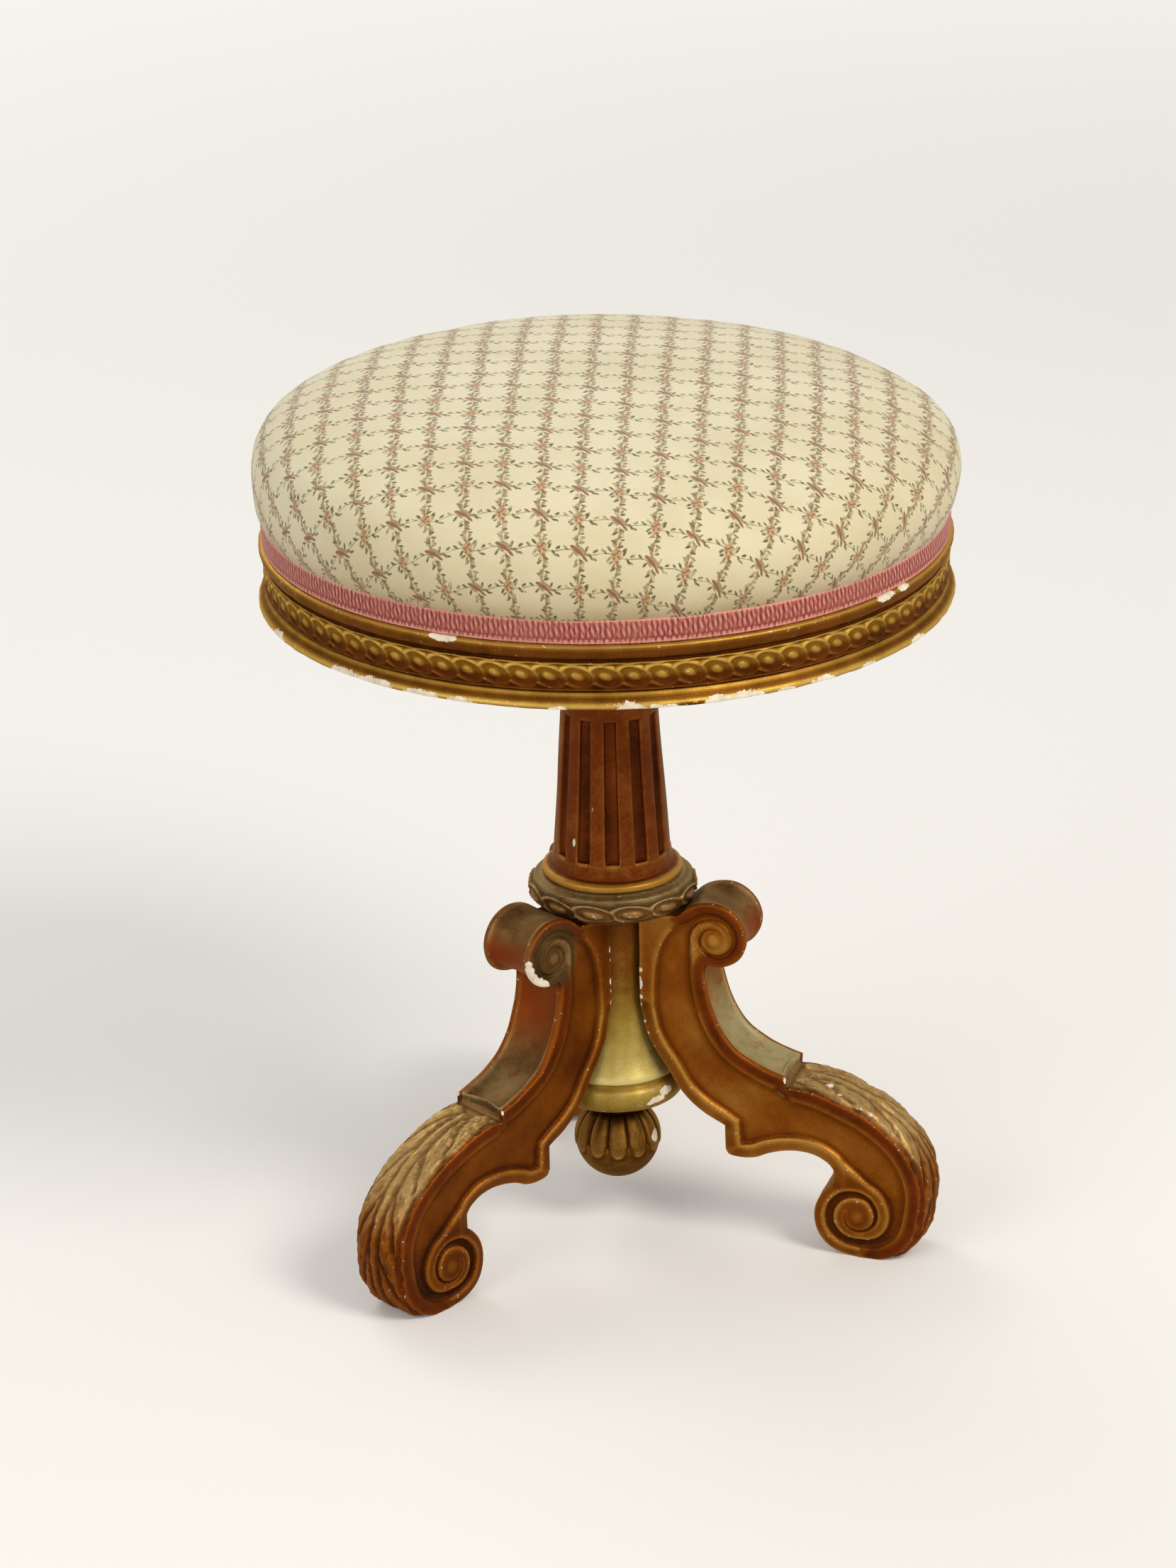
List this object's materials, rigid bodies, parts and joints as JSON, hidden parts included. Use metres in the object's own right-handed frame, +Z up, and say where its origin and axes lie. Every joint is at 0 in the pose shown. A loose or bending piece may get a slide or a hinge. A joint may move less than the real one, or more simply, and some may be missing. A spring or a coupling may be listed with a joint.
{
  "type": "revolving piano stool",
  "caption": "Revolving piano stool: round stuffed seat on a carved gilded rail, screwed up and down in a fluted column on three scroll legs with a ball finial.",
  "frame": {"origin": "On the floor under the axis of the column, in the middle of the stool's footprint.", "axes": "+Z up along the axis of the column. +Y along the leg that points straight away from the other two. +X completes the right-handed frame."},
  "size_m": [0.386, 0.386, 0.5165],
  "materials": {
    "gilding": "worn gilding on carved wood",
    "brown_gilding": "dark worn gilding on carved wood",
    "wood": "bare beech",
    "seat_cloth": "cream woven cloth",
    "stuffing": "horsehair and wadding",
    "braid": "ribbed pink braid",
    "iron": "bare casting",
    "steel": "turned steel",
    "nut_brass": "turned brass",
    "washer_leather": "greased leather"
  },
  "bodies": {
    "base": {"column_shaft": "brown_gilding", "collar_ring": "gilding", "hub": "gilding", "finial": "gilding", "finial_dowel": "wood", "column_nut": "nut_brass", "nut_screw_1": "steel", "nut_screw_2": "steel", "nut_screw_3": "steel", "leg_1": "brown_gilding", "leg_dowel_1_1": "wood", "leg_dowel_1_2": "wood", "leg_2": "brown_gilding", "leg_dowel_2_1": "wood", "leg_dowel_2_2": "wood", "leg_3": "brown_gilding", "leg_dowel_3_1": "wood", "leg_dowel_3_2": "wood"},
    "lift": {"thrust_washer": "washer_leather"},
    "seat": {"seat_cover": "seat_cloth", "stuffing_pad": "stuffing", "gimp_braid": "braid", "seat_rail": "gilding", "seat_board": "wood", "seat_plate": "iron", "lift_screw": "steel", "plate_pin": "steel", "stop_collar": "steel", "stop_pin": "steel", "rail_screw_1": "steel", "rail_screw_2": "steel", "rail_screw_3": "steel", "rail_screw_4": "steel", "plate_screw_1": "steel", "plate_screw_2": "steel", "plate_screw_3": "steel", "plate_screw_4": "steel"}
  },
  "joints": [
    {"name": "seat_rise", "type": "slide", "parent": "base", "child": "lift", "axis": [0, 0, 1], "range_m": [0, 0.1]},
    {"name": "seat_turn", "type": "hinge", "parent": "lift", "child": "seat", "pos_m": [0, 0, 0.3771], "axis": [0, 0, 1], "range_deg": [0, 4500]}
  ],
  "couplings": [
    {"joint": "seat_rise", "follows": "seat_turn", "m_per_rad": 0.0012732}
  ]
}
